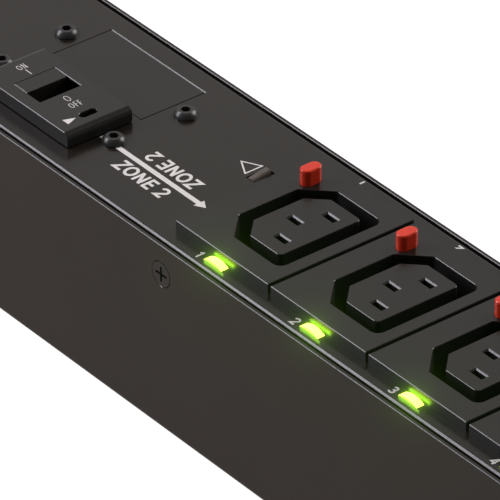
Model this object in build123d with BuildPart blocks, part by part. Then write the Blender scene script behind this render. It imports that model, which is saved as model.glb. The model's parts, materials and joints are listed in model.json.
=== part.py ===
from build123d import *
import os

# Slim rack power distribution unit, lying on its flat back, outlet face up.
# Millimetres. +X runs along the strip from the gland end, +Y across, +Z out of the outlet face.
# Origin: centre of the bounding box's bottom, on the back face.

os.makedirs("parts", exist_ok=True)

# ---------------------------------------------------------------- driving dimensions
width = 56.6            # outside, across the channel
wall_top = 51.7         # side walls' height
sheet = 1.0             # steel sheet
cap_t = 1.5             # end caps
x_left = -170.5         # outer face of the gland end cap
x_right = 194.5         # outer face of the far end cap
cover_w = 53.0          # outside width of the cover between the walls
cover_top = 51.8
cover_flange = 13.8     # depth of the cover's side flanges
bend_r = 0.8            # outer bend radius of the cover

outlets = 6
pitch = 35.185          # outlet spacing
x_first = -20.5         # centre of the first outlet's core
block_x0, block_x1 = -18.83, 15.30    # outlet block ends, from the outlet centre
block_y = 21.54         # half width of the block
block_top = 54.4        # 2.6 above the cover
module_bottom = 28.1
recess_x, recess_y = 11.62, 15.29     # half sizes of the plug recess
recess_c = 6.6          # its two cut corners
core_x, core_y = 7.78, 12.03          # half sizes of the core
core_c = 4.6
recess_depth = 19.2
slot_l, slot_w, slot_lead = 3.7, 1.5, 0.35
contact_y, contact_x = 7.15, 2.52     # line and neutral slots, from the outlet centre
earth_x = -1.68

button_x, button_y = -12.4, 13.25     # release button, from the outlet centre
button_w, button_l = 3.4, 5.6         # stadium, long way across the strip
button_h = 4.1          # above the block
button_travel = 2.0

lens_x, lens_y = -1.765, -23.17
lens_l, lens_w, lens_h = 6.5, 2.2, 0.9

guard_x0, guard_x1 = -118.2, -82.5    # breaker guard
guard_y0, guard_y1 = -20.15, -0.95
guard_top = 55.75
guard_wall = 1.5
guard_r = 1.7
window_x, window_y = -103.34, -10.5   # centre of the handle window
window_l, window_w = 10.6, 12.3
handle_l, handle_w = 5.1, 12.0
pivot_z = 40.75
handle_pin_r = 1.25
handle_swing = 20.0     # degrees from ON to OFF

blank_x0, blank_x1 = -119.1, -82.0    # opening of the second breaker position
blank_y0, blank_y1 = 1.1, 20.56
groove = 0.2
groove_end = 0.3        # wider at its two short ends
skirt_gap = 0.3         # shadow line under the guard

screw_spots = [(-124.18, 10.9), (-77.14, 10.8), (-78.53, -9.6), (-122.8, -9.6)]
side_screw_z = 43.73
side_screw_x = [-158.5, -36.35, 91.5, 184.5]
cap_screw_z = 22.0
cap_screw_x = [-163.0, 187.0]

gland_z = 27.0
mount_x, mount_y = 156.0, 16.0        # press nuts in the back, from the centre

outlet_x = [x_first + i * pitch for i in range(outlets)]
x_bank0 = outlet_x[0] + block_x0
x_bank1 = outlet_x[-1] + block_x1

# ---------------------------------------------------------------- chassis
with BuildPart() as chassis:
    with BuildSketch(Plane(origin=(x_left + cap_t, 0, 0), x_dir=(0, 1, 0), z_dir=(1, 0, 0))):
        with Locations((0, wall_top / 2)):
            Rectangle(width, wall_top)
        with Locations((0, wall_top / 2 + sheet / 2)):
            Rectangle(width - 2 * sheet, wall_top - sheet, mode=Mode.SUBTRACT)
    extrude(amount=x_right - x_left - 2 * cap_t)
    fillet(chassis.edges().filter_by(Axis.X).group_by(Axis.Z)[0], 1.4)
    fillet(chassis.edges().filter_by(Axis.X).filter_by(lambda e: abs(e.center().Z - sheet) < 0.01), 0.4)
    chamfer(chassis.edges().filter_by(Axis.X).group_by(Axis.Z)[-1], 0.12)
    # countersunk holes for the flush side screws
    for side in (-1, 1):
        with Locations([Plane(origin=(x, side * width / 2, z), z_dir=(0, side, 0))
                        for x, z in [(x, side_screw_z) for x in side_screw_x] + [(x, cap_screw_z) for x in cap_screw_x]]):
            CounterSinkHole(radius=1.6, counter_sink_radius=3.5, depth=3.0, counter_sink_angle=90)
    # press nut holes in the back
    with Locations([(sx * mount_x, sy * mount_y, sheet) for sx in (-1, 1) for sy in (-1, 1)]):
        Hole(radius=3.5, depth=3.0)
chassis.part.label = "chassis"
export_step(chassis.part, "parts/chassis.step")

# ---------------------------------------------------------------- cover plate
with BuildPart() as cover_plate:
    with BuildSketch(Plane(origin=(x_left + cap_t + 0.2, 0, 0), x_dir=(0, 1, 0), z_dir=(1, 0, 0))):
        with Locations((0, cover_top - cover_flange / 2)):
            Rectangle(cover_w, cover_flange)
        with Locations((0, cover_top - cover_flange / 2 - sheet / 2)):
            Rectangle(cover_w - 2 * sheet, cover_flange - sheet, mode=Mode.SUBTRACT)
    extrude(amount=x_right - x_left - 2 * cap_t - 0.4)
    fillet(cover_plate.edges().filter_by(Axis.X).group_by(Axis.Z)[-1], bend_r)
    fillet(cover_plate.edges().filter_by(Axis.X).filter_by(lambda e: abs(e.center().Z - (cover_top - sheet)) < 0.01), 0.25)
    with BuildSketch(Plane.XY.offset(cover_top - sheet - 0.5)):
        # one long opening for the outlet modules
        with Locations(((x_bank0 + x_bank1) / 2, 0)):
            Rectangle(x_bank1 - x_bank0 - 2.6, 39.6)
        # breaker, second breaker position, latch slot
        with Locations(((guard_x0 + guard_x1) / 2, window_y)):
            Rectangle(34.6, 17.8)
        with Locations(((blank_x0 + blank_x1) / 2, (blank_y0 + blank_y1) / 2)):
            Rectangle(blank_x1 - blank_x0, blank_y1 - blank_y0)
        with Locations((-45.3, 8.15)):
            Rectangle(3.1, 6.4)
        # indicator slots and bracket screw holes
        with Locations([(x + lens_x, lens_y) for x in outlet_x]):
            Rectangle(6.1, 1.8)
        with Locations(screw_spots):
            Circle(1.7)
    extrude(amount=3.0, mode=Mode.SUBTRACT)
    # far edge of the second breaker position's opening, broken
    chamfer(cover_plate.edges().filter_by(Axis.X).filter_by(lambda e: abs(e.center().Y - blank_y1) < 0.01 and abs(e.center().Z - cover_top) < 0.01), 0.22)
    for side in (-1, 1):
        with Locations([Plane(origin=(x, side * cover_w / 2, side_screw_z), z_dir=(0, side, 0)) for x in side_screw_x]):
            Hole(radius=2.1, depth=3.0)
cover_plate.part.label = "cover_plate"
export_step(cover_plate.part, "parts/cover_plate.step")

# ---------------------------------------------------------------- end caps
with BuildPart() as end_cap_left:
    with BuildSketch(Plane(origin=(x_left, 0, 0), x_dir=(0, 1, 0), z_dir=(1, 0, 0))):
        with Locations((0, wall_top / 2)):
            Rectangle(width, wall_top)
        with Locations((0, gland_z)):
            Circle(10.15, mode=Mode.SUBTRACT)
    extrude(amount=cap_t)
    fillet(end_cap_left.edges().filter_by(Axis.X).group_by(Axis.Z)[0], 1.4)
    with BuildSketch(Plane.XY.offset(14.0)):
        with Locations([(x_left + cap_t + 6.5, s * (width / 2 - sheet - 0.8)) for s in (-1, 1)]):
            Rectangle(13.0, 1.5)
    extrude(amount=16.0)
    chamfer(end_cap_left.faces().sort_by(Axis.X)[0].outer_wire().edges(), 0.3)
    for side in (-1, 1):
        with Locations([Plane(origin=(cap_screw_x[0], side * (width / 2 - sheet - 0.05), cap_screw_z), z_dir=(0, side, 0))]):
            CounterSinkHole(radius=1.55, counter_sink_radius=2.5, depth=3.0, counter_sink_angle=90)
end_cap_left.part.label = "end_cap_left"
export_step(end_cap_left.part, "parts/end_cap_left.step")

with BuildPart() as end_cap_right:
    with BuildSketch(Plane(origin=(x_right, 0, 0), x_dir=(0, 1, 0), z_dir=(1, 0, 0))):
        with Locations((0, wall_top / 2)):
            Rectangle(width, wall_top)
    extrude(amount=-cap_t)
    fillet(end_cap_right.edges().filter_by(Axis.X).group_by(Axis.Z)[0], 1.4)
    with BuildSketch(Plane.XY.offset(14.0)):
        with Locations([(x_right - cap_t - 6.5, s * (width / 2 - sheet - 0.8)) for s in (-1, 1)]):
            Rectangle(13.0, 1.5)
    extrude(amount=16.0)
    chamfer(end_cap_right.faces().sort_by(Axis.X)[-1].outer_wire().edges(), 0.3)
    for side in (-1, 1):
        with Locations([Plane(origin=(cap_screw_x[1], side * (width / 2 - sheet - 0.05), cap_screw_z), z_dir=(0, side, 0))]):
            CounterSinkHole(radius=1.55, counter_sink_radius=2.5, depth=3.0, counter_sink_angle=90)
end_cap_right.part.label = "end_cap_right"
export_step(end_cap_right.part, "parts/end_cap_right.step")

# ---------------------------------------------------------------- cord gland, on the gland end cap
gx = x_left
with BuildPart() as gland_body:
    with BuildSketch(Plane.XZ):
        with BuildLine():
            Polyline((gx + 7.0, gland_z + 7.0), (gx + 7.0, gland_z + 9.6), (gx + 6.6, gland_z + 10.0), (gx, gland_z + 10.0),
                     (gx, gland_z + 11.5), (gx - 5.5, gland_z + 11.5), (gx - 5.5, gland_z + 10.0), (gx - 16.0, gland_z + 10.0),
                     (gx - 16.0, gland_z + 8.0), (gx - 9.0, gland_z + 8.0), (gx - 8.0, gland_z + 7.0), close=True)
        make_face()
    revolve(axis=Axis((gx, 0, gland_z), (1, 0, 0)))
    with BuildSketch(Plane(origin=(gx, 0, gland_z), x_dir=(0, 1, 0), z_dir=(-1, 0, 0))):
        RegularPolygon(radius=12.0, side_count=6, major_radius=False)
        Circle(10.5, mode=Mode.SUBTRACT)
    extrude(amount=5.5)
gland_body.part.label = "gland_body"
export_step(gland_body.part, "parts/gland_body.step")

with BuildPart() as gland_locknut:
    with BuildSketch(Plane(origin=(gx + cap_t, 0, gland_z), x_dir=(0, 1, 0), z_dir=(1, 0, 0))):
        RegularPolygon(radius=12.5, side_count=6, major_radius=False)
        Circle(10.03, mode=Mode.SUBTRACT)
    extrude(amount=4.0)
gland_locknut.part.label = "gland_locknut"
export_step(gland_locknut.part, "parts/gland_locknut.step")

with BuildPart() as gland_seal:
    with BuildSketch(Plane.XZ):
        with BuildLine():
            Polyline((gx - 9.2, gland_z + 5.0), (gx - 9.2, gland_z + 7.9), (gx - 16.4, gland_z + 7.9), (gx - 19.4, gland_z + 6.6),
                     (gx - 19.4, gland_z + 5.0), close=True)
        make_face()
    revolve(axis=Axis((gx, 0, gland_z), (1, 0, 0)))
gland_seal.part.label = "gland_seal"
export_step(gland_seal.part, "parts/gland_seal.step")

with BuildPart() as gland_dome_nut:
    with BuildSketch(Plane(origin=(gx - 6.0, 0, gland_z), x_dir=(0, 1, 0), z_dir=(-1, 0, 0))):
        RegularPolygon(radius=12.0, side_count=6, major_radius=False)
        Circle(10.06, mode=Mode.SUBTRACT)
    extrude(amount=9.0)
    with BuildSketch(Plane.XZ):
        with BuildLine():
            Polyline((gx - 15.0, gland_z + 10.06), (gx - 15.0, gland_z + 12.0), (gx - 19.0, gland_z + 10.8), (gx - 23.0, gland_z + 8.6),
                     (gx - 24.0, gland_z + 7.2), (gx - 24.0, gland_z + 6.2), (gx - 19.8, gland_z + 6.2), (gx - 19.8, gland_z + 6.9),
                     (gx - 16.6, gland_z + 8.3), (gx - 16.6, gland_z + 10.06), close=True)
        make_face()
    revolve(axis=Axis((gx, 0, gland_z), (1, 0, 0)))
gland_dome_nut.part.label = "gland_dome_nut"
export_step(gland_dome_nut.part, "parts/gland_dome_nut.step")

# ---------------------------------------------------------------- second breaker position: flush blank panel
bx, by = (blank_x0 + blank_x1) / 2, (blank_y0 + blank_y1) / 2
with BuildPart() as blank_panel:
    with BuildSketch(Plane.XY.offset(cover_top - sheet)):
        with Locations((bx, by)):
            Rectangle(blank_x1 - blank_x0 - 2 * groove_end, blank_y1 - blank_y0 - 2 * groove)
    extrude(amount=sheet)
    with BuildSketch(Plane.XY.offset(cover_top - sheet)):
        with Locations((bx, by + 0.25)):
            Rectangle(blank_x1 - blank_x0 + 3.4, blank_y1 - blank_y0 + 1.9)
    extrude(amount=-1.0)
    # two stiffening ribs behind
    with BuildSketch(Plane.XY.offset(cover_top - sheet - 1.0)):
        with Locations((bx, by - 5), (bx, by + 5)):
            Rectangle(30.0, 1.2)
    extrude(amount=-3.0)
blank_panel.part.label = "blank_panel"
export_step(blank_panel.part, "parts/blank_panel.step")

# ---------------------------------------------------------------- bracket that holds the breaker positions under the cover
with BuildPart() as breaker_bracket:
    with BuildSketch(Plane.XY.offset(48.3)):
        with Locations((-100.8, 0.6)):
            Rectangle(55.6, 46.4)
        with Locations(((guard_x0 + guard_x1) / 2, window_y)):
            Rectangle(35.4, 18.6, mode=Mode.SUBTRACT)
        with Locations((bx, by + 0.25)):
            Rectangle(33.0, 15.0, mode=Mode.SUBTRACT)
    extrude(amount=2.5)
    with BuildSketch(Plane.XY.offset(49.8)):
        with Locations((bx, by + 0.25)):
            Rectangle(blank_x1 - blank_x0 + 3.8, blank_y1 - blank_y0 + 2.2)
    extrude(amount=2.0, mode=Mode.SUBTRACT)
    with Locations([(x, y, 50.8) for x, y in screw_spots]):
        Hole(radius=1.52, depth=3.0)
breaker_bracket.part.label = "breaker_bracket"
export_step(breaker_bracket.part, "parts/breaker_bracket.step")

# ---------------------------------------------------------------- breaker
body_x0, body_x1 = -116.4, -84.3
with BuildPart() as breaker_body:
    with BuildSketch(Plane.XY.offset(12.0)):
        with Locations(((body_x0 + body_x1) / 2, window_y)):
            Rectangle(body_x1 - body_x0, 17.4)
    extrude(amount=38.4)
    fillet(breaker_body.edges().filter_by(Axis.Z), 0.8)
    # ears that the two near screws clamp under the bracket
    with BuildSketch(Plane.XY.offset(46.2)):
        with Locations(((-126.0 - 75.4) / 2, window_y)):
            Rectangle(50.6, 15.0)
    extrude(amount=2.1)
    with Locations([(x, y, 48.3) for x, y in screw_spots[2:]]):
        Hole(radius=1.6, depth=4.0)
    # pocket that the handle swings in
    with BuildSketch(Plane.XY.offset(37.0)):
        with Locations((window_x, window_y)):
            Rectangle(11.8, 12.8)
    extrude(amount=20.0, mode=Mode.SUBTRACT)
    # bore for the pin
    with BuildSketch(Plane(origin=(window_x, window_y, pivot_z), x_dir=(1, 0, 0), z_dir=(0, -1, 0))):
        Circle(handle_pin_r)
    extrude(amount=8.5, both=True, mode=Mode.SUBTRACT)
    # seats for the two terminals
    with BuildSketch(Plane(origin=(0, window_y, 19.0), x_dir=(1, 0, 0), z_dir=(0, -1, 0))):
        with Locations((body_x0 + 2.0, 0), (body_x1 - 2.0, 0)):
            Rectangle(8.0, 6.0)
    extrude(amount=4.0, both=True, mode=Mode.SUBTRACT)
breaker_body.part.label = "breaker_body"
export_step(breaker_body.part, "parts/breaker_body.step")

with BuildPart() as handle_pin:
    with BuildSketch(Plane(origin=(window_x, window_y, pivot_z), x_dir=(1, 0, 0), z_dir=(0, -1, 0))):
        Circle(handle_pin_r)
    extrude(amount=8.4, both=True)
handle_pin.part.label = "handle_pin"
export_step(handle_pin.part, "parts/handle_pin.step")

hx, hz = window_x, pivot_z
hl = -window_l / 2 + 0.1
with BuildPart() as breaker_handle:
    with BuildSketch(Plane(origin=(0, window_y, 0), x_dir=(1, 0, 0), z_dir=(0, -1, 0))):
        with BuildLine():
            Polyline((hx + hl, guard_top), (hx + hl + handle_l, guard_top), (hx + hl + handle_l, hz + 8.0), (hx + 1.6, hz + 5.0),
                     (hx + 2.6, hz), (hx - 2.6, hz), (hx + hl, hz + 8.5), close=True)
        make_face()
        with Locations((hx, hz)):
            Circle(2.7)
            Circle(handle_pin_r + 0.05, mode=Mode.SUBTRACT)
    extrude(amount=handle_w / 2, both=True)
    chamfer(breaker_handle.faces().sort_by(Axis.Z)[-1].edges(), 0.12)
breaker_handle.part.label = "breaker_handle"
export_step(breaker_handle.part, "parts/breaker_handle.step")

with BuildPart() as breaker_terminals:
    with BuildSketch(Plane(origin=(0, window_y, 19.0), x_dir=(1, 0, 0), z_dir=(0, -1, 0))):
        with Locations((body_x0 - 1.0, 0), (body_x1 + 1.0, 0)):
            Rectangle(13.9, 5.9)
    extrude(amount=3.9, both=True)
    for side, x_end in ((-1, body_x0 - 7.95), (1, body_x1 + 7.95)):
        with Locations([Plane(origin=(x_end, window_y, 19.0), z_dir=(side, 0, 0))]):
            Hole(radius=1.65, depth=6.0)
        # clamp screw, standing in its threaded hole
        with BuildSketch(Plane.XY.offset(21.9)):
            with Locations((x_end - side * 3.0, window_y)):
                Circle(2.0)
        extrude(amount=1.6)
breaker_terminals.part.label = "breaker_terminals"
export_step(breaker_terminals.part, "parts/breaker_terminals.step")

with BuildPart() as breaker_guard:
    with BuildSketch(Plane(origin=(0, (guard_y0 + guard_y1) / 2, 0), x_dir=(1, 0, 0), z_dir=(0, -1, 0))):
        with Locations(((guard_x0 + guard_x1) / 2, (cover_top + skirt_gap + guard_top) / 2)):
            Rectangle(guard_x1 - guard_x0, guard_top - cover_top - skirt_gap)
    extrude(amount=(guard_y1 - guard_y0) / 2, both=True)
    fillet(breaker_guard.edges().filter_by(Axis.Y).group_by(Axis.Z)[-1], guard_r)
    chamfer(breaker_guard.edges().filter_by(Axis.X).group_by(Axis.Z)[-1], 0.15)
    # hollow inside
    with BuildSketch(Plane.XY.offset(cover_top)):
        with Locations(((guard_x0 + guard_x1) / 2, (guard_y0 + guard_y1) / 2)):
            Rectangle(guard_x1 - guard_x0 - 2 * guard_wall, guard_y1 - guard_y0 - 2 * guard_wall)
    extrude(amount=guard_top - cover_top - guard_wall, mode=Mode.SUBTRACT)
    # two snap legs through the cover's opening, with barbs under its edges
    for side in (-1, 1):
        xm = (guard_x0 + guard_x1) / 2 + side * 16.7
        with BuildSketch(Plane.XY.offset(48.9)):
            with Locations((xm, window_y)):
                Rectangle(0.9, 7.0)
        extrude(amount=52.6 - 48.9)
        with BuildSketch(Plane.XY.offset(48.9)):
            with Locations((xm + side * 0.5, window_y)):
                Rectangle(0.7, 7.0)
        extrude(amount=1.85)
    # window and slot
    with BuildSketch(Plane.XY.offset(cover_top)):
        with Locations((window_x, window_y)):
            Rectangle(window_l, window_w)
        with Locations((-87.35, window_y)):
            SlotOverall(4.95, 2.15, rotation=90)
    extrude(amount=6.0, mode=Mode.SUBTRACT)
    # the window is undercut, and its far edge and the slot's edges are broken
    with BuildSketch(Plane.XY.offset(cover_top)):
        with Locations((window_x, window_y)):
            Rectangle(window_l + 0.8, window_w + 1.6)
    extrude(amount=guard_top - 0.55 - cover_top, mode=Mode.SUBTRACT)
    chamfer(breaker_guard.edges().filter_by(Axis.X).filter_by(lambda e: abs(e.center().Y - window_y - window_w / 2) < 0.01 and abs(e.center().Z - guard_top) < 0.01), 0.16)
    chamfer(breaker_guard.edges().filter_by(lambda e: abs(e.center().Z - guard_top) < 0.01 and abs(e.center().X + 87.35) < 1.2 and abs(e.center().Y - window_y) < 2.6), 0.12)
breaker_guard.part.label = "breaker_guard"
export_step(breaker_guard.part, "parts/breaker_guard.step")

# ---------------------------------------------------------------- latch tab of the outlet carrier, in its own slot
with BuildPart() as carrier_latch:
    with BuildSketch(Plane(origin=(-45.35, 0, 0), x_dir=(0, 1, 0), z_dir=(1, 0, 0))):
        with BuildLine():
            Polyline((5.1, 49.0), (5.1, 52.05), (10.5, 52.85), (10.5, 49.0), close=True)
        make_face()
    extrude(amount=1.15, both=True)
    fillet(carrier_latch.edges().filter_by(lambda e: e.center().Z > 52.3 and abs(e.center().X + 45.35) > 1.0), 0.75)
    # foot that hooks under the cover
    with BuildSketch(Plane.XY.offset(47.0)):
        with Locations((-45.35, 7.8)):
            Rectangle(5.0, 9.0)
    extrude(amount=2.0)
carrier_latch.part.label = "carrier_latch"
export_step(carrier_latch.part, "parts/carrier_latch.step")

# ---------------------------------------------------------------- outlet modules
for n, xc in enumerate(outlet_x, 1):
    with BuildPart() as outlet_frame:
        # flange that sits on the cover
        with BuildSketch(Plane(origin=(xc, 0, cover_top))):
            with Locations(((block_x0 + block_x1) / 2, 0)):
                Rectangle(block_x1 - block_x0, 2 * block_y)
        extrude(amount=block_top - cover_top)
        chamfer(outlet_frame.faces().sort_by(Axis.Z)[-1].edges(), 0.15)
        # body through the cover
        with BuildSketch(Plane(origin=(xc, 0, module_bottom))):
            with Locations((-1.75, 0)):
                Rectangle(31.3, 39.2)
        extrude(amount=cover_top - module_bottom)
        # plug recess: a rectangle with two cut corners
        with BuildSketch(Plane(origin=(xc, 0, block_top - recess_depth))) as recess:
            with BuildLine():
                Polyline((-recess_x, -recess_y + recess_c), (-recess_x + recess_c, -recess_y), (recess_x, -recess_y), (recess_x, recess_y),
                         (-recess_x + recess_c, recess_y), (-recess_x, recess_y - recess_c), close=True)
            make_face()
            fillet(recess.vertices().group_by(Axis.X)[-1], 2.3)
            fillet(recess.vertices().filter_by(lambda v: v.X < -2), 1.2)
        extrude(amount=recess_depth + 1, mode=Mode.SUBTRACT)
        chamfer(outlet_frame.faces().sort_by(Axis.Z)[-1].inner_wires()[0].edges(), 0.12)
        # seat of the core, through the recess's floor
        with BuildSketch(Plane(origin=(xc, 0, module_bottom))) as seat:
            with BuildLine():
                Polyline((-core_x, -core_y + core_c), (-core_x + core_c, -core_y), (core_x, -core_y), (core_x, core_y),
                         (-core_x + core_c, core_y), (-core_x, core_y - core_c), close=True)
            make_face()
            fillet(seat.vertices().group_by(Axis.X)[-1], 1.1)
            fillet(seat.vertices().filter_by(lambda v: v.X < -2), 0.3)
            offset(amount=0.05)
        extrude(amount=block_top - module_bottom, mode=Mode.SUBTRACT)
        # button bore and the pocket behind it
        with BuildSketch(Plane(origin=(xc, 0, module_bottom))):
            with Locations((button_x, button_y)):
                SlotOverall(6.3, 4.75, rotation=90)
        extrude(amount=52.6 - module_bottom, mode=Mode.SUBTRACT)
        with BuildSketch(Plane(origin=(xc, 0, 52.0))):
            with Locations((button_x, button_y)):
                SlotOverall(button_l + 0.2, button_w + 0.2, rotation=90)
        extrude(amount=5.0, mode=Mode.SUBTRACT)
    outlet_frame.part.label = f"outlet_frame_{n}"
    export_step(outlet_frame.part, f"parts/outlet_frame_{n}.step")

    with BuildPart() as outlet_core:
        # the core itself
        with BuildSketch(Plane(origin=(xc, 0, module_bottom))) as core:
            with BuildLine():
                Polyline((-core_x, -core_y + core_c), (-core_x + core_c, -core_y), (core_x, -core_y), (core_x, core_y),
                         (-core_x + core_c, core_y), (-core_x, core_y - core_c), close=True)
            make_face()
            fillet(core.vertices().group_by(Axis.X)[-1], 1.1)
            fillet(core.vertices().filter_by(lambda v: v.X < -2), 0.3)
        extrude(amount=block_top - module_bottom)
        chamfer(outlet_core.faces().sort_by(Axis.Z)[-1].edges(), 0.12)
        # contact cells and the three slots with their lead-ins
        with BuildSketch(Plane(origin=(xc, 0, module_bottom))):
            with Locations((contact_x, contact_y), (contact_x, -contact_y), (earth_x, 0)):
                Rectangle(5.4, 3.7)
        extrude(amount=51.9 - module_bottom, mode=Mode.SUBTRACT)
        with BuildSketch(Plane(origin=(xc, 0, 51.0))):
            with Locations((contact_x, contact_y), (contact_x, -contact_y), (earth_x, 0)):
                Rectangle(slot_l, slot_w)
        extrude(amount=5.0, mode=Mode.SUBTRACT)
        with BuildSketch(Plane(origin=(xc, 0, block_top))):
            with Locations((contact_x, contact_y), (contact_x, -contact_y), (earth_x, 0)):
                Rectangle(slot_l + 2 * slot_lead, slot_w + 2 * slot_lead)
        extrude(amount=-slot_lead, taper=45, mode=Mode.SUBTRACT)
    outlet_core.part.label = f"outlet_core_{n}"
    export_step(outlet_core.part, f"parts/outlet_core_{n}.step")

    with BuildPart() as release_button:
        with BuildSketch(Plane(origin=(xc, 0, 51.2))):
            with Locations((button_x, button_y)):
                SlotOverall(6.1, 4.55, rotation=90)
        extrude(amount=1.3)
        with BuildSketch(Plane(origin=(xc, 0, 51.2))):
            with Locations((button_x, button_y)):
                SlotOverall(button_l, button_w, rotation=90)
        extrude(amount=block_top + button_h - 51.2)
        fillet(release_button.faces().sort_by(Axis.Z)[-1].edges(), 0.4)
    release_button.part.label = f"release_button_{n}"
    export_step(release_button.part, f"parts/release_button_{n}.step")

    # return spring between the carrier's post and the button
    with BuildPart() as button_spring:
        with BuildLine(Plane(origin=(xc + button_x, button_y, 44.45))) as coil:
            Helix(pitch=1.05, height=6.5, radius=1.5)
        with BuildSketch(Plane(origin=coil.line @ 0, z_dir=coil.line % 0)):
            Circle(0.2)
        sweep(is_frenet=True)
    button_spring.part.label = f"button_spring_{n}"
    export_step(button_spring.part, f"parts/button_spring_{n}.step")

    # arched light pipe
    with BuildPart() as led_lens:
        with BuildSketch(Plane(origin=(xc + lens_x, lens_y, cover_top), x_dir=(1, 0, 0), z_dir=(0, -1, 0))):
            with BuildLine():
                Line((-lens_l / 2, 0.0), (lens_l / 2, 0.0))
                ThreePointArc((-lens_l / 2, 0.0), (0, lens_h), (lens_l / 2, 0.0))
            make_face()
        extrude(amount=lens_w / 2, both=True)
        with BuildSketch(Plane(origin=(xc, 0, 49.3))):
            with Locations((lens_x, lens_y)):
                Rectangle(5.9, 1.6)
        extrude(amount=cover_top - 49.3)
    led_lens.part.label = f"led_lens_{n}"
    export_step(led_lens.part, f"parts/led_lens_{n}.step")

# ---------------------------------------------------------------- carrier under the modules
with BuildPart() as outlet_carrier:
    with BuildSketch(Plane.XY.offset(26.0)):
        with Locations(((x_bank0 + x_bank1) / 2, 0)):
            Rectangle(x_bank1 - x_bank0, 42.0)
    extrude(amount=2.0)
    # legs to the back
    with BuildSketch(Plane.XY.offset(sheet)):
        with Locations([(x, y) for x in (outlet_x[0] - 8, outlet_x[2] + 18, outlet_x[5] + 11) for y in (-17.5, 17.5)]):
            Rectangle(7.0, 5.0)
    extrude(amount=26.0 - sheet)
    # spring posts
    with BuildSketch(Plane.XY.offset(28.0)):
        with Locations([(x + button_x, button_y) for x in outlet_x]):
            SlotOverall(5.0, 4.15, rotation=90)
    extrude(amount=44.2 - 28.0)
    # openings for the contacts
    with BuildSketch(Plane.XY.offset(25.0)):
        with Locations([(x + cx, cy) for x in outlet_x for cx, cy in ((contact_x, contact_y), (contact_x, -contact_y), (earth_x, 0))]):
            Rectangle(5.2, 3.6)
    extrude(amount=4.0, mode=Mode.SUBTRACT)
outlet_carrier.part.label = "outlet_carrier"
export_step(outlet_carrier.part, "parts/outlet_carrier.step")

# ---------------------------------------------------------------- bus bars with their contact jaws
with BuildPart() as line_bus:
    with BuildSketch(Plane.XY.offset(24.6)):
        with Locations(((x_bank0 - 6 + x_bank1) / 2, -contact_y)):
            Rectangle(x_bank1 - x_bank0 + 6 - 4, 6.0)
    extrude(amount=1.2)
    with BuildSketch(Plane.XY.offset(25.0)):
        with Locations([(x + contact_x, -contact_y + s * 1.25) for x in outlet_x for s in (-1, 1)]):
            Rectangle(4.4, 0.5)
    extrude(amount=24.0)
line_bus.part.label = "line_bus"
export_step(line_bus.part, "parts/line_bus.step")

with BuildPart() as neutral_bus:
    with BuildSketch(Plane.XY.offset(24.6)):
        with Locations(((x_bank0 - 6 + x_bank1) / 2, contact_y)):
            Rectangle(x_bank1 - x_bank0 + 6 - 4, 6.0)
    extrude(amount=1.2)
    with BuildSketch(Plane.XY.offset(25.0)):
        with Locations([(x + contact_x, contact_y + s * 1.25) for x in outlet_x for s in (-1, 1)]):
            Rectangle(4.4, 0.5)
    extrude(amount=24.0)
neutral_bus.part.label = "neutral_bus"
export_step(neutral_bus.part, "parts/neutral_bus.step")

with BuildPart() as earth_bus:
    with BuildSketch(Plane.XY.offset(24.6)):
        with Locations(((x_bank0 - 6 + x_bank1) / 2, 0)):
            Rectangle(x_bank1 - x_bank0 + 6 - 4, 6.0)
    extrude(amount=1.2)
    with BuildSketch(Plane.XY.offset(25.0)):
        with Locations([(x + earth_x, s * 1.25) for x in outlet_x for s in (-1, 1)]):
            Rectangle(4.4, 0.5)
    extrude(amount=24.0)
earth_bus.part.label = "earth_bus"
export_step(earth_bus.part, "parts/earth_bus.step")

# ---------------------------------------------------------------- indicator board
with BuildPart() as led_board:
    with BuildSketch(Plane.XY.offset(47.4)):
        with Locations(((x_bank0 + 8 + x_bank1) / 2, -22.7)):
            Rectangle(x_bank1 - x_bank0 - 8, 5.0)
    extrude(amount=1.0)
    with BuildSketch(Plane.XY.offset(48.4)):
        with Locations([(x + lens_x, lens_y) for x in outlet_x]):
            Rectangle(2.0, 1.4)
        with Locations([(x + lens_x + 8.0, lens_y) for x in outlet_x]):
            Rectangle(1.6, 0.8)
    extrude(amount=0.8)
led_board.part.label = "led_board"
export_step(led_board.part, "parts/led_board.step")

# ---------------------------------------------------------------- terminal block and wiring
with BuildPart() as terminal_block:
    with BuildSketch(Plane.XY.offset(sheet)):
        with Locations((-142.0, 0)):
            Rectangle(16.0, 36.0)
    extrude(amount=22.0)
    fillet(terminal_block.edges().filter_by(Axis.Z), 1.0)
    for y in (-10.5, 0.0, 10.5):
        with Locations([Plane(origin=(-134.0, y, 11.0), z_dir=(1, 0, 0)), Plane(origin=(-150.0, y, 11.0), z_dir=(-1, 0, 0))]):
            Hole(radius=1.65, depth=6.5)
        with Locations((-138.0, y, 23.0), (-146.0, y, 23.0)):
            Hole(radius=2.0, depth=4.0)
terminal_block.part.label = "terminal_block"
export_step(terminal_block.part, "parts/terminal_block.step")

wire_r = 1.6
with BuildPart() as line_wire:
    with BuildLine() as route:
        FilletPolyline((-140.0, -10.5, 11.0), (-131.5, -10.5, 11.0), (-129.0, -10.5, 19.0), (-120.5, -10.5, 19.0), radius=3.0)
    with BuildSketch(Plane(origin=(-140.0, -10.5, 11.0), z_dir=(1, 0, 0))):
        Circle(wire_r)
    sweep()
line_wire.part.label = "line_wire"
export_step(line_wire.part, "parts/line_wire.step")

with BuildPart() as load_wire:
    with BuildLine() as route:
        FilletPolyline((-80.2, -10.5, 19.0), (-66.0, -10.5, 19.0), (-52.0, -contact_y, 22.9), (-34.0, -contact_y, 22.9), radius=6.0)
    with BuildSketch(Plane(origin=(-80.2, -10.5, 19.0), z_dir=(1, 0, 0))):
        Circle(wire_r)
    sweep()
load_wire.part.label = "load_wire"
export_step(load_wire.part, "parts/load_wire.step")

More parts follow.
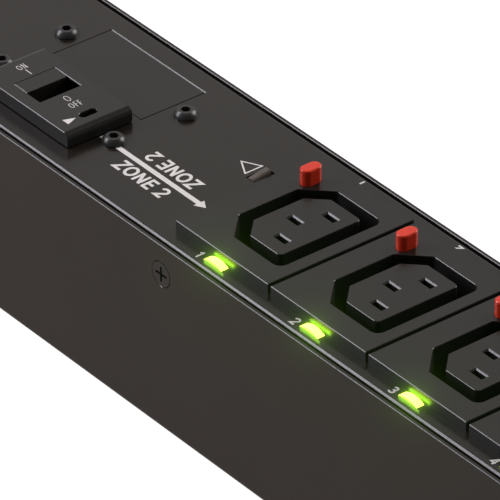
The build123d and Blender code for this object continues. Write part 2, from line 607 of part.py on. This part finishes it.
with BuildPart() as neutral_wire:
    with BuildLine() as route:
        FilletPolyline((-140.0, 0.0, 11.0), (-130.0, 0.0, 11.0), (-116.0, contact_y, 17.0), (-56.0, contact_y, 22.9), (-34.0, contact_y, 22.9), radius=8.0)
    with BuildSketch(Plane(origin=(-140.0, 0.0, 11.0), z_dir=(1, 0, 0))):
        Circle(wire_r)
    sweep()
neutral_wire.part.label = "neutral_wire"
export_step(neutral_wire.part, "parts/neutral_wire.step")

with BuildPart() as earth_wire:
    with BuildLine() as route:
        FilletPolyline((-140.0, 10.5, 11.0), (-130.0, 10.5, 11.0), (-116.0, 14.0, 11.0), (-76.0, 14.0, 13.0), (-55.0, 0.0, 22.9), (-34.0, 0.0, 22.9), radius=9.0)
    with BuildSketch(Plane(origin=(-140.0, 10.5, 11.0), z_dir=(1, 0, 0))):
        Circle(wire_r)
    sweep()
earth_wire.part.label = "earth_wire"
export_step(earth_wire.part, "parts/earth_wire.step")

# ---------------------------------------------------------------- fasteners, each kind one node of separate solids
with BuildPart() as bracket_screws:
    for x, y in screw_spots:
        with BuildSketch(Plane(origin=(x, y, 0), x_dir=(1, 0, 0), z_dir=(0, -1, 0))):
            with BuildLine():
                Line((0, 44.3), (1.3, 44.3))
                Line((1.3, 44.3), (1.5, 44.6))
                Line((1.5, 44.6), (1.5, cover_top))
                Line((1.5, cover_top), (3.0, cover_top))
                Line((3.0, cover_top), (3.0, cover_top + 0.3))
                ThreePointArc((3.0, cover_top + 0.3), (2.58, cover_top + 1.12), (1.95, cover_top + 1.65))
                Line((1.95, cover_top + 1.65), (0, cover_top + 1.65))
                Line((0, cover_top + 1.65), (0, 44.3))
            make_face()
        revolve(axis=Axis((x, y, 0), (0, 0, 1)))
        with BuildSketch(Plane(origin=(x, y, cover_top + 1.65))):
            RegularPolygon(radius=1.12, side_count=6, major_radius=False)
        extrude(amount=-1.1, mode=Mode.SUBTRACT)
bracket_screws.part.label = "bracket_screws"
export_step(bracket_screws.part, "parts/bracket_screws.step")

with BuildPart() as side_screws:
    for side in (-1, 1):
        for x, z in [(x, side_screw_z) for x in side_screw_x] + [(x, cap_screw_z) for x in cap_screw_x]:
            y0 = side * width / 2
            with BuildSketch(Plane(origin=(x, 0, z), x_dir=(1, 0, 0), z_dir=(0, 0, 1))):
                with BuildLine():
                    Polyline((0, y0), (3.25, y0), (3.25, y0 - side * 0.2), (1.5, y0 - side * 1.95), (1.5, y0 - side * 7.6), (1.2, y0 - side * 8.0), (0, y0 - side * 8.0), close=True)
                make_face()
            revolve(axis=Axis((x, 0, z), (0, 1, 0)))
            # cross recess: two wedges
            with BuildSketch(Plane(origin=(x, 0, z), x_dir=(1, 0, 0), z_dir=(0, 0, 1))):
                with BuildLine():
                    Polyline((-2.1, y0 + side * 0.1), (2.1, y0 + side * 0.1), (1.9, y0 - side * 0.7), (0.7, y0 - side * 1.5), (-0.7, y0 - side * 1.5), (-1.9, y0 - side * 0.7), close=True)
                make_face()
            extrude(amount=0.36, both=True, mode=Mode.SUBTRACT)
            with BuildSketch(Plane(origin=(x, 0, z), x_dir=(0, 1, 0), z_dir=(1, 0, 0))):
                with BuildLine():
                    Polyline((y0 + side * 0.1, -2.1), (y0 + side * 0.1, 2.1), (y0 - side * 0.7, 1.9), (y0 - side * 1.5, 0.7), (y0 - side * 1.5, -0.7), (y0 - side * 0.7, -1.9), close=True)
                make_face()
            extrude(amount=0.36, both=True, mode=Mode.SUBTRACT)
side_screws.part.label = "side_screws"
export_step(side_screws.part, "parts/side_screws.step")

with BuildPart() as cover_nuts:
    for side in (-1, 1):
        for x in side_screw_x:
            with BuildSketch(Plane(origin=(x, side * (cover_w / 2 - sheet), side_screw_z), x_dir=(1, 0, 0), z_dir=(0, -side, 0))):
                Circle(3.0)
                Circle(1.52, mode=Mode.SUBTRACT)
            extrude(amount=2.2)
            with BuildSketch(Plane(origin=(x, side * (cover_w / 2 - sheet), side_screw_z), x_dir=(1, 0, 0), z_dir=(0, side, 0))):
                Circle(2.1)
                Circle(1.52, mode=Mode.SUBTRACT)
            extrude(amount=0.8)
cover_nuts.part.label = "cover_nuts"
export_step(cover_nuts.part, "parts/cover_nuts.step")

with BuildPart() as mounting_nuts:
    for sx in (-1, 1):
        for sy in (-1, 1):
            with BuildSketch(Plane(origin=(sx * mount_x, sy * mount_y, 0))):
                Circle(3.5)
                Circle(2.1, mode=Mode.SUBTRACT)
            extrude(amount=sheet)
            with BuildSketch(Plane(origin=(sx * mount_x, sy * mount_y, sheet))):
                Circle(4.75)
                Circle(2.1, mode=Mode.SUBTRACT)
            extrude(amount=3.5)
mounting_nuts.part.label = "mounting_nuts"
export_step(mounting_nuts.part, "parts/mounting_nuts.step")
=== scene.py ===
import bpy, bmesh, json, math
from mathutils import Vector, Matrix


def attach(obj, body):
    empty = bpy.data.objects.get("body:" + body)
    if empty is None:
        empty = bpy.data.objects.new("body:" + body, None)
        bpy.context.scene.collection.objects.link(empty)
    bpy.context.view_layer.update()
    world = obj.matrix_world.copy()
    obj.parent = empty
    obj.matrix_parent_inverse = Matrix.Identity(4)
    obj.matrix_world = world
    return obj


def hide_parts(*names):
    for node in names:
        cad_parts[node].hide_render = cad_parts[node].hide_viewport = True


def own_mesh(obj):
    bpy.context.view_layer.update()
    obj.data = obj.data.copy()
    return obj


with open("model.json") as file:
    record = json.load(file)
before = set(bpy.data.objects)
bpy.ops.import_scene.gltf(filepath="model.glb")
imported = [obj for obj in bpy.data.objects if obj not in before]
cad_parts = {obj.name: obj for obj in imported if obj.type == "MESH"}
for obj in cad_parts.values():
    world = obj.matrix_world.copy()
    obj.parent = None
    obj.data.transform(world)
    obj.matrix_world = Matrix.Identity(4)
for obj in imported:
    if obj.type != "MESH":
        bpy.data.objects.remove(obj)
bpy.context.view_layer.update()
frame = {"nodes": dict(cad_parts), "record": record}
nodes = frame["nodes"]
sc = bpy.context.scene
MM = 0.001

# ------------------------------------------------------------------ positions taken from the CAD, in millimetres
PITCH = 35.185
OUTLETS = [-20.5 + i * PITCH for i in range(6)]
COVER = 51.8
GUARD = 55.75

# ------------------------------------------------------------------ node helpers
def new_mat(name):
    m = bpy.data.materials.new(name)
    m.use_nodes = True
    nt = m.node_tree
    bsdf = nt.nodes["Principled BSDF"]
    return m, nt, bsdf


def object_mm(nt):
    """Object coordinates in millimetres."""
    tc = nt.nodes.new("ShaderNodeTexCoord")
    mp = nt.nodes.new("ShaderNodeMapping")
    mp.inputs["Scale"].default_value = (1000, 1000, 1000)
    nt.links.new(tc.outputs["Object"], mp.inputs["Vector"])
    return mp.outputs["Vector"]


def noise(nt, vec, scale, detail=3.0, rough=0.5):
    n = nt.nodes.new("ShaderNodeTexNoise")
    n.inputs["Scale"].default_value = scale
    n.inputs["Detail"].default_value = detail
    n.inputs["Roughness"].default_value = rough
    nt.links.new(vec, n.inputs["Vector"])
    return n.outputs["Fac"]


def remap(nt, fac, a, b, lo=0.3, hi=0.7):
    r = nt.nodes.new("ShaderNodeMapRange")
    r.inputs["From Min"].default_value = lo
    r.inputs["From Max"].default_value = hi
    r.inputs["To Min"].default_value = a
    r.inputs["To Max"].default_value = b
    nt.links.new(fac, r.inputs["Value"])
    return r.outputs["Result"]


def mix_col(nt, fac, a, b):
    x = nt.nodes.new("ShaderNodeMix")
    x.data_type = "RGBA"
    x.inputs["A"].default_value = (*a, 1)
    x.inputs["B"].default_value = (*b, 1)
    nt.links.new(fac, x.inputs["Factor"])
    return x.outputs["Result"]


def bump(nt, fac, strength, distance_mm, normal=None):
    b = nt.nodes.new("ShaderNodeBump")
    b.inputs["Strength"].default_value = strength
    b.inputs["Distance"].default_value = distance_mm * MM
    nt.links.new(fac, b.inputs["Height"])
    if normal is not None:
        nt.links.new(normal, b.inputs["Normal"])
    return b.outputs["Normal"]


def coat_mat(name, dark, light, rough, spec, grain=1.6, grain_mm=0.012, peel_mm=0.01, cloud=0.05):
    """A fine satin finish: cloudy tone, a fine grain and a long soft unevenness."""
    m, nt, bsdf = new_mat(name)
    vec = object_mm(nt)
    tone = noise(nt, vec, cloud, 4.0, 0.6)
    nt.links.new(mix_col(nt, remap(nt, tone, 0, 1), dark, light), bsdf.inputs["Base Color"])
    fine = noise(nt, vec, grain, 2.0, 0.55)
    nt.links.new(remap(nt, fine, rough - 0.04, rough + 0.04), bsdf.inputs["Roughness"])
    peel = noise(nt, vec, 0.35, 2.0, 0.5)
    n1 = bump(nt, fine, 0.25, grain_mm)
    n2 = bump(nt, peel, 0.35, peel_mm, n1)
    nt.links.new(n2, bsdf.inputs["Normal"])
    bsdf.inputs["Specular IOR Level"].default_value = spec
    return m


def moulded_shaded_walls_mat(name, dark, light, rough, spec):
    """Like coat_mat on the faces that look up; upright walls, outside and in the recesses, are duller, and their
    darker base colour is painted shade.
    """
    m = coat_mat(name, dark, light, rough, spec, 2.6, 0.010)
    nt = m.node_tree
    bsdf = nt.nodes["Principled BSDF"]
    geo = nt.nodes.new("ShaderNodeNewGeometry")
    sn = nt.nodes.new("ShaderNodeSeparateXYZ")
    nt.links.new(geo.outputs["True Normal"], sn.inputs["Vector"])
    flat = remap(nt, sn.outputs["Z"], 0, 1, 0.3, 0.6)
    # upright faces: the darker base colour is painted shade; the higher roughness makes them duller
    for key, dull_shaded_wall in (("Base Color", (0.006, 0.0058, 0.0058, 1)), ("Roughness", 0.5)):
        link = bsdf.inputs[key].links[0]
        src = link.from_socket
        x = nt.nodes.new("ShaderNodeMix")
        if key == "Base Color":
            x.data_type = "RGBA"
        nt.links.new(flat, x.inputs["Factor"])
        x.inputs["A"].default_value = dull_shaded_wall
        nt.links.new(src, x.inputs["B"])
        nt.links.new(x.outputs["Result"], bsdf.inputs[key])
    return m


def metal_mat(name, dark, light, rough, axis=None, streak=4.0):
    m, nt, bsdf = new_mat(name)
    vec = object_mm(nt)
    if axis is not None:
        st = nt.nodes.new("ShaderNodeMapping")
        st.inputs["Scale"].default_value = tuple(0.06 if i == axis else 1.0 for i in range(3))
        nt.links.new(vec, st.inputs["Vector"])
        vec = st.outputs["Vector"]
    tone = noise(nt, vec, streak, 4.0, 0.6)
    nt.links.new(mix_col(nt, remap(nt, tone, 0, 1), dark, light), bsdf.inputs["Base Color"])
    nt.links.new(remap(nt, tone, rough - 0.06, rough + 0.08), bsdf.inputs["Roughness"])
    nt.links.new(bump(nt, tone, 0.4, 0.008), bsdf.inputs["Normal"])
    bsdf.inputs["Metallic"].default_value = 1.0
    return m


M = {}
M["painted_steel"] = coat_mat("painted_steel", (0.0122, 0.0093, 0.0072), (0.0148, 0.0117, 0.0092), 0.22, 0.5)
M["guard_plastic"] = moulded_shaded_walls_mat("guard_plastic", (0.0165, 0.0144, 0.0127), (0.0192, 0.0170, 0.0151), 0.22, 0.5)
M["panel_plastic"] = coat_mat("panel_plastic", (0.0133, 0.0111, 0.0092), (0.0159, 0.0133, 0.0114), 0.24, 0.5, 2.2, 0.010)
M["handle_plastic"] = coat_mat("handle_plastic", (0.0160, 0.0137, 0.0121), (0.0187, 0.0163, 0.0144), 0.25, 0.5, 2.2, 0.010)
M["outlet_plastic"] = moulded_shaded_walls_mat("outlet_plastic", (0.0127, 0.0109, 0.0092), (0.0151, 0.0131, 0.0114), 0.22, 0.5)
M["core_plastic"] = moulded_shaded_walls_mat("core_plastic", (0.0120, 0.0103, 0.0088), (0.0144, 0.0124, 0.0107), 0.24, 0.5)
M["black_plastic"] = coat_mat("black_plastic", (0.010, 0.010, 0.010), (0.014, 0.014, 0.014), 0.5, 0.35, 2.0)
M["black_nylon"] = coat_mat("black_nylon", (0.014, 0.014, 0.015), (0.019, 0.019, 0.020), 0.45, 0.4, 2.0, 0.012)
M["black_rubber"] = coat_mat("black_rubber", (0.011, 0.011, 0.011), (0.016, 0.016, 0.016), 0.7, 0.3, 2.0, 0.02)
M["terminal_plastic"] = coat_mat("terminal_plastic", (0.55, 0.55, 0.52), (0.62, 0.62, 0.6), 0.45, 0.4)
M["board"] = coat_mat("board", (0.01, 0.07, 0.03), (0.015, 0.09, 0.04), 0.35, 0.5)
M["latch_plastic"] = coat_mat("latch_plastic", (0.088, 0.072, 0.060), (0.120, 0.101, 0.086), 0.35, 0.5, 2.0, 0.015, 0.02, 0.4)
M["red_plastic"] = coat_mat("red_plastic", (0.72, 0.036, 0.012), (0.79, 0.046, 0.018), 0.24, 0.5, 2.0, 0.006, 0.006, 0.3)
M["line_insulation"] = coat_mat("line_insulation", (0.14, 0.05, 0.02), (0.17, 0.06, 0.025), 0.4, 0.4)
M["neutral_insulation"] = coat_mat("neutral_insulation", (0.01, 0.05, 0.25), (0.015, 0.07, 0.3), 0.4, 0.4)
M["earth_insulation"] = coat_mat("earth_insulation", (0.07, 0.25, 0.03), (0.1, 0.3, 0.04), 0.4, 0.4)
M["black_steel"] = coat_mat("black_steel", (0.020, 0.018, 0.018), (0.028, 0.025, 0.025), 0.38, 0.45, 3.0, 0.008)
M["screw_steel"] = coat_mat("screw_steel", (0.020, 0.019, 0.018), (0.030, 0.028, 0.027), 0.32, 0.6, 3.0, 0.006)
M["zinc_steel"] = metal_mat("zinc_steel", (0.5, 0.5, 0.5), (0.62, 0.62, 0.61), 0.35)
M["spring_steel"] = metal_mat("spring_steel", (0.45, 0.45, 0.46), (0.6, 0.6, 0.62), 0.3)
M["brass"] = metal_mat("brass", (0.62, 0.45, 0.16), (0.75, 0.56, 0.22), 0.32)


LENS_GLOW = 3.8


def lens_mat():
    """A lit light pipe: pale yellow on top, fading to yellow-green at its ends and down its sides."""
    m, nt, bsdf = new_mat("lens")
    vec = object_mm(nt)
    sep = nt.nodes.new("ShaderNodeSeparateXYZ")
    nt.links.new(vec, sep.inputs["Vector"])
    geo = nt.nodes.new("ShaderNodeNewGeometry")
    sn = nt.nodes.new("ShaderNodeSeparateXYZ")
    nt.links.new(geo.outputs["Normal"], sn.inputs["Vector"])
    up = remap(nt, sn.outputs["Z"], 0, 1, 0.25, 0.98)
    height = remap(nt, sep.outputs["Z"], 0, 1, COVER - 0.1, COVER + 0.9)
    side = mix_col(nt, height, (0.048, 0.139, 0.0025), (0.22, 0.337, 0.025))
    top = nt.nodes.new("ShaderNodeMix")
    top.data_type = "RGBA"
    nt.links.new(up, top.inputs["Factor"])
    nt.links.new(side, top.inputs["A"])
    top.inputs["B"].default_value = (0.93, 0.95, 0.100, 1)
    nt.links.new(top.outputs["Result"], bsdf.inputs["Emission Color"])
    bsdf.inputs["Emission Strength"].default_value = LENS_GLOW
    cloud = noise(nt, vec, 0.9, 3.0, 0.5)
    nt.links.new(mix_col(nt, remap(nt, cloud, 0, 1), (0.35, 0.6, 0.08), (0.45, 0.7, 0.12)), bsdf.inputs["Base Color"])
    nt.links.new(remap(nt, cloud, 0.22, 0.3), bsdf.inputs["Roughness"])
    return m


M["lens"] = lens_mat()
M["white_ink"] = coat_mat("white_ink", (0.70, 0.67, 0.64), (0.80, 0.77, 0.745), 0.55, 0.4, 3.0, 0.004, 0.004, 0.6)

slot_of = {s["node"]: s["material_slot"] for s in frame["record"]["subparts"]}
for n, o in nodes.items():
    key = "screw_steel" if n == "bracket_screws" else slot_of[n]
    o.data.materials.clear()
    o.data.materials.append(M[key])


# ------------------------------------------------------------------ printed marks: flat strokes a few hundredths thick
def arc(cx, cy, rx, ry, a0, a1, n=14):
    return [(cx + rx * math.cos(math.radians(a0 + (a1 - a0) * i / n)), cy + ry * math.sin(math.radians(a0 + (a1 - a0) * i / n))) for i in range(n + 1)]


def ribbon(points, w, closed=False):
    """A stroke of width w along points, with mitred corners, as a list of quads."""
    pts = [Vector((p[0], p[1])) for p in points]
    clean = [pts[0]]
    for p in pts[1:]:
        if (p - clean[-1]).length > 1e-5:
            clean.append(p)
    if closed and (clean[0] - clean[-1]).length < 1e-5:
        clean.pop()
    pts = clean
    n = len(pts)
    left, right = [], []
    for i in range(n):
        a = pts[i - 1] if (i > 0 or closed) else None
        b = pts[(i + 1) % n] if (i < n - 1 or closed) else None
        d0 = (pts[i] - a).normalized() if a is not None else None
        d1 = (b - pts[i]).normalized() if b is not None else None
        if d0 is None:
            d0 = d1
        if d1 is None:
            d1 = d0
        n0, n1 = Vector((-d0.y, d0.x)), Vector((-d1.y, d1.x))
        m = (n0 + n1)
        if m.length < 1e-6:
            m = n0
        m.normalize()
        k = min(1.0 / max(m.dot(n0), 0.35), 2.2)
        left.append(pts[i] + m * (w / 2 * k))
        right.append(pts[i] - m * (w / 2 * k))
    quads = []
    for i in range(n if closed else n - 1):
        j = (i + 1) % n
        quads.append([right[i], right[j], left[j], left[i]])
    return quads


# glyphs on a cap height of 1; each: (advance width, list of (points, closed))
def glyph(ch):
    if ch == "1":
        return 0.46, [([(0.06, 0.70), (0.30, 0.93)], False), ([(0.32, 0.0), (0.32, 1.0)], False)]
    if ch == "2":
        top = arc(0.33, 0.70, 0.255, 0.235, 170, -40, 16)
        return 0.66, [(top + [(0.09, 0.075), (0.64, 0.075)], False)]
    if ch == "3":
        return 0.66, [(arc(0.31, 0.735, 0.225, 0.195, 160, -90, 14) + arc(0.31, 0.29, 0.255, 0.22, 90, -160, 16), False)]
    if ch == "4":
        return 0.68, [([(0.62, 0.27), (0.08, 0.27), (0.46, 0.94)], False), ([(0.47, 0.0), (0.47, 1.0)], False)]
    if ch == "5":
        return 0.66, [([(0.57, 0.93), (0.17, 0.93), (0.12, 0.50)] + arc(0.31, 0.33, 0.26, 0.26, 135, -150, 16), False)]
    if ch == "6":
        return 0.66, [([(0.56, 0.80)] + arc(0.34, 0.62, 0.25, 0.31, 62, 180, 12) + [(0.09, 0.38)], False), (arc(0.335, 0.31, 0.245, 0.24, 0, 360, 24), True)]
    if ch == "Z":
        return 0.72, [([(0.06, 0.93), (0.66, 0.93), (0.07, 0.07), (0.68, 0.07)], False)]
    if ch == "O":
        return 0.86, [(arc(0.43, 0.5, 0.345, 0.43, 0, 360, 32), True)]
    if ch == "N":
        return 0.80, [([(0.13, 0.0), (0.13, 1.0)], False), ([(0.14, 0.96), (0.66, 0.04)], False), ([(0.67, 0.0), (0.67, 1.0)], False)]
    if ch == "E":
        return 0.70, [([(0.66, 0.93), (0.14, 0.93), (0.14, 0.07), (0.67, 0.07)], False), ([(0.14, 0.51), (0.62, 0.51)], False)]
    if ch == "F":
        return 0.62, [([(0.14, 0.0), (0.14, 0.94), (0.60, 0.94)], False), ([(0.14, 0.50), (0.54, 0.50)], False)]
    return 0.35, []


def text_quads(word, cap, stroke, squeeze=1.0, gap=0.10):
    """Quads of a word on its baseline, its left end at x = 0, in millimetres."""
    x, out = 0.0, []
    for ch in word:
        adv, strokes = glyph(ch)
        for pts, closed in strokes:
            out += ribbon([((x + px * squeeze) * cap, py * cap) for px, py in pts], stroke, closed)
        x += (adv + (gap if ch != " " else 0)) * squeeze
    return out, (x - gap * squeeze) * cap


def print_piece(name, groups, z, thick=0.03):
    """One mesh of flat printed strokes. groups: (quads, origin x, origin y, turn in degrees)."""
    bm = bmesh.new()
    k = 0
    for quads, ox, oy, turn in groups:
        c, s = math.cos(math.radians(turn)), math.sin(math.radians(turn))
        for q in quads:
            top = z + thick + 0.0004 * (k % 9)
            k += 1
            vs, vb = [], []
            for p in q:
                X, Y = ox + p.x * c - p.y * s, oy + p.x * s + p.y * c
                vs.append(bm.verts.new((X * MM, Y * MM, top * MM)))
                vb.append(bm.verts.new((X * MM, Y * MM, (z - 0.01) * MM)))
            bm.faces.new(vs)
            bm.faces.new(vb[::-1])
            for i in range(4):
                j = (i + 1) % 4
                bm.faces.new((vs[i], vb[i], vb[j], vs[j]))
    bmesh.ops.recalc_face_normals(bm, faces=bm.faces)
    me = bpy.data.meshes.new(name)
    bm.to_mesh(me)
    bm.free()
    o = bpy.data.objects.new(name, me)
    sc.collection.objects.link(o)
    me.materials.append(M["white_ink"])
    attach(o, "housing")
    return o


def poly(points):
    """A filled convex polygon as one or more quads."""
    p = [Vector(q) for q in points]
    if len(p) == 3:
        return [[p[0], p[1], p[2], (p[2] + p[0]) / 2]]
    return [p]


# number beside each indicator, and the same number upside down along the far edge
for i, xc in enumerate(OUTLETS):
    near, wn = text_quads(str(i + 1), 2.7, 0.5)
    far, wf = text_quads(str(i + 1), 2.9, 0.5)
    print_piece(f"number_print_{i + 1}", [(near, xc - 7.2 - wn / 2, -25.0, 0), (far, xc - 7.2 + wf / 2, 25.45, 180)], COVER)

# arrow and zone name on the cover
XO = -20.5
arrow = [poly([(XO - 61.6, -10.46 - 0.675), (XO - 23.9, -10.46 - 0.675), (XO - 23.9, -10.46 + 0.675), (XO - 61.6, -10.46 + 0.675)])[0],
         poly([(XO - 24.4, -10.46 - 1.63), (XO - 21.67, -10.46), (XO - 24.4, -10.46 + 1.63)])[0]]
word, wlen = text_quads("ZONE 2", 4.04, 0.78)
print_piece("cover_print", [(arrow, 0, 0, 0), (word, XO - 50.0, -16.46, 0), (word, XO - 30.0, -4.45, 180)], COVER)
tri = ribbon([(XO - 32.4, 8.42), (XO - 27.7, 11.0), (XO - 27.7, 5.85)], 0.38, True)
print_piece("triangle_print", [(tri, 0, 0, 0)], COVER)

# ON and OFF on the breaker guard, reading across the strip
on, w1 = text_quads("ON", 2.25, 0.17, 0.62, 0.2)
off, w2 = text_quads("OFF", 2.25, 0.17, 0.62, 0.2)
bar = [poly([(XO - 91.55, -10.5 - 0.11), (XO - 89.05, -10.5 - 0.11), (XO - 89.05, -10.5 + 0.11), (XO - 91.55, -10.5 + 0.11)])[0]]
ring = ribbon(arc(XO - 74.95, -10.55, 1.2, 0.6, 0, 360, 28), 0.17, True)
mark = [poly([(XO - 68.05, -17.2), (XO - 65.65, -17.2), (XO - 66.85, -14.1)])[0]]
print_piece("guard_print", [(on, XO - 91.95, -10.5 - w1 / 2, 90), (bar, 0, 0, 0), (ring, 0, 0, 0), (off, XO - 70.65, -10.5 - w2 / 2, 90), (mark, 0, 0, 0)], GUARD, 0.025)

# ------------------------------------------------------------------ return springs: the same wire as the CAD's, drawn as a fixed coil in place of the CAD's spring
def coil(name, xc, yc, z0, height, pitch, radius, wire, per_turn=22, sides=9):
    n = int(round(height / pitch * per_turn))
    rings = []
    bm = bmesh.new()
    for i in range(n + 1):
        t = i / n
        a = 2 * math.pi * height / pitch * t
        c, s = math.cos(a), math.sin(a)
        p = Vector((xc + radius * c, yc + radius * s, z0 + height * t))
        along = Vector((-radius * s, radius * c, pitch / (2 * math.pi))).normalized()
        inward = Vector((-c, -s, 0))
        third = along.cross(inward).normalized()
        rings.append([bm.verts.new((p + wire * (math.cos(b) * inward + math.sin(b) * third)) * MM) for b in (2 * math.pi * k / sides for k in range(sides))])
    for a, b in zip(rings, rings[1:]):
        for k in range(sides):
            j = (k + 1) % sides
            bm.faces.new((a[k], a[j], b[j], b[k]))
    bm.faces.new(rings[0][::-1])
    bm.faces.new(rings[-1])
    bmesh.ops.recalc_face_normals(bm, faces=bm.faces)
    for f in bm.faces:
        f.smooth = len(f.verts) == 4
    me = bpy.data.meshes.new(name)
    bm.to_mesh(me)
    bm.free()
    me.materials.append(M["spring_steel"])
    o = bpy.data.objects.new(name, me)
    sc.collection.objects.link(o)
    return o


for i, xc in enumerate(OUTLETS):
    o = coil(f"return_spring_{i + 1}", xc - 12.4, 13.25, 44.45, 6.5, 1.05, 1.5, 0.2)
    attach(o, "housing")
    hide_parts(f"button_spring_{i + 1}")
    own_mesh(o)

# ------------------------------------------------------------------ stage: pale floor, soft light, camera
FLOOR_GLOW = 1.0
FLOOR_BOUNCE = 0.30
AMBIENT = 0.12
WARM = (1.0, 0.965, 0.93)
LIGHTS = [
    ("key", (0.15, 0.85, 0.50), 1.5, 0.9, 0.9, 14.0, WARM),
    ("far_left", (-0.76, 0.56, 0.34), 1.6, 1.7, 1.15, 2.8, WARM),
    ("strip", (-0.66, -0.42, 0.62), 1.4, 0.40, 1.8, 20.0, (0.94, 0.92, 1.0)),
]
bm = bmesh.new()
bmesh.ops.create_grid(bm, x_segments=1, y_segments=1, size=6.0)
me = bpy.data.meshes.new("floor")
bm.to_mesh(me)
bm.free()
floor = bpy.data.objects.new("floor", me)
floor.location = (0, 0, -0.0002)
sc.collection.objects.link(floor)
fm, nt, bsdf = new_mat("floor")
bsdf.inputs["Base Color"].default_value = (0.17, 0.15, 0.136, 1)
bsdf.inputs["Roughness"].default_value = 0.8
bsdf.inputs["Specular IOR Level"].default_value = 0.1
# the sweep reads as clean white, and throws only FLOOR_BOUNCE of light back on the part
path = nt.nodes.new("ShaderNodeLightPath")
nt.links.new(mix_col(nt, path.outputs["Is Camera Ray"], (1.0, 0.88, 0.80), (1, 1, 1)), bsdf.inputs["Emission Color"])
glow = nt.nodes.new("ShaderNodeMapRange")
glow.inputs["To Min"].default_value = FLOOR_BOUNCE
glow.inputs["To Max"].default_value = FLOOR_GLOW
nt.links.new(path.outputs["Is Camera Ray"], glow.inputs["Value"])
nt.links.new(glow.outputs["Result"], bsdf.inputs["Emission Strength"])
me.materials.append(fm)

world = bpy.data.worlds.new("world")
world.use_nodes = True
world.node_tree.nodes["Background"].inputs["Color"].default_value = (1.0, 0.985, 0.97, 1)
world.node_tree.nodes["Background"].inputs["Strength"].default_value = AMBIENT
sc.world = world


def panel(name, direction, distance, w, h, power, color=(1, 1, 1)):
    d = Vector(direction).normalized()
    target = Vector((-0.03, 0, 0.05))
    light = bpy.data.lights.new(name, "AREA")
    light.shape = "RECTANGLE"
    light.size, light.size_y = w, h
    light.energy = power
    light.color = color
    o = bpy.data.objects.new(name, light)
    o.location = target + d * distance
    o.rotation_mode = "QUATERNION"
    y_axis = d.cross(Vector((1, 0, 0))).normalized()
    x_axis = y_axis.cross(d).normalized()
    o.rotation_quaternion = Matrix((x_axis, y_axis, d)).transposed().to_quaternion()
    sc.collection.objects.link(o)
    return o


for spec in LIGHTS:
    panel(*spec)

# the light that each indicator throws on what stands round it; the lens itself is what the camera sees
GREEN = (0.42, 1.0, 0.035)
SPILL_BACK = 0.00042
SPILL_FRONT = 0.00015
for i, xc in enumerate(OUTLETS):
    for side, y, power in ((1, -22.05, SPILL_BACK), (-1, -24.3, SPILL_FRONT)):
        light = bpy.data.lights.new(f"spill_{i + 1}_{side}", "AREA")
        light.shape = "RECTANGLE"
        light.size, light.size_y = 7.2 * MM, 1.0 * MM
        light.energy = power
        light.color = GREEN
        o = bpy.data.objects.new(light.name, light)
        o.location = ((xc - 1.2) * MM, y * MM, (COVER + 0.42) * MM)
        d = Vector((0, side, 0.12 if side < 0 else 0.0)).normalized()
        o.rotation_mode = "QUATERNION"
        zc = -d
        xcax = Vector((1, 0, 0))
        ycax = zc.cross(xcax).normalized()
        o.rotation_quaternion = Matrix((xcax, ycax, zc)).transposed().to_quaternion()
        o.visible_camera = False
        sc.collection.objects.link(o)

cam_data = bpy.data.cameras.new("camera")
cam = bpy.data.objects.new("camera", cam_data)
sc.collection.objects.link(cam)
sc.camera = cam
cam_data.sensor_width = 36.0
cam_data.lens = 489.74
cam_data.clip_start, cam_data.clip_end = 0.05, 50
right = Vector((0.62018460, 0.78444934, -0.00320863))
up = Vector((-0.42942024, 0.34291637, 0.83546790))
back = Vector((0.65648254, -0.51676647, 0.54952988))
origin = Vector((-0.0205, 0.0, 0.0544))
loc = origin + Vector((1.02544, -0.82179, 0.85697))
cam.matrix_world = Matrix(((right.x, up.x, back.x, loc.x), (right.y, up.y, back.y, loc.y), (right.z, up.z, back.z, loc.z), (0, 0, 0, 1)))

sc.view_settings.view_transform = "Standard"
sc.view_settings.look = "None"
sc.view_settings.exposure = 0.0
sc.view_settings.gamma = 1.0

# a lit lens glows a little past its edge in the picture; the threshold is above the floor's own brightness
sc.use_nodes = True
ct = sc.node_tree
ct.nodes.clear()
layers = ct.nodes.new("CompositorNodeRLayers")
glare = ct.nodes.new("CompositorNodeGlare")
glare.glare_type = "BLOOM"
glare.quality = "HIGH"
for key, value in (("Threshold", 1.5), ("Smoothness", 0.0), ("Strength", 1.0), ("Size", 0.3), ("Tint", (0.45, 1.0, 0.12, 1.0))):
    glare.inputs[key].default_value = value
out = ct.nodes.new("CompositorNodeComposite")
ct.links.new(layers.outputs["Image"], glare.inputs["Image"])
ct.links.new(glare.outputs["Image"], out.inputs["Image"])
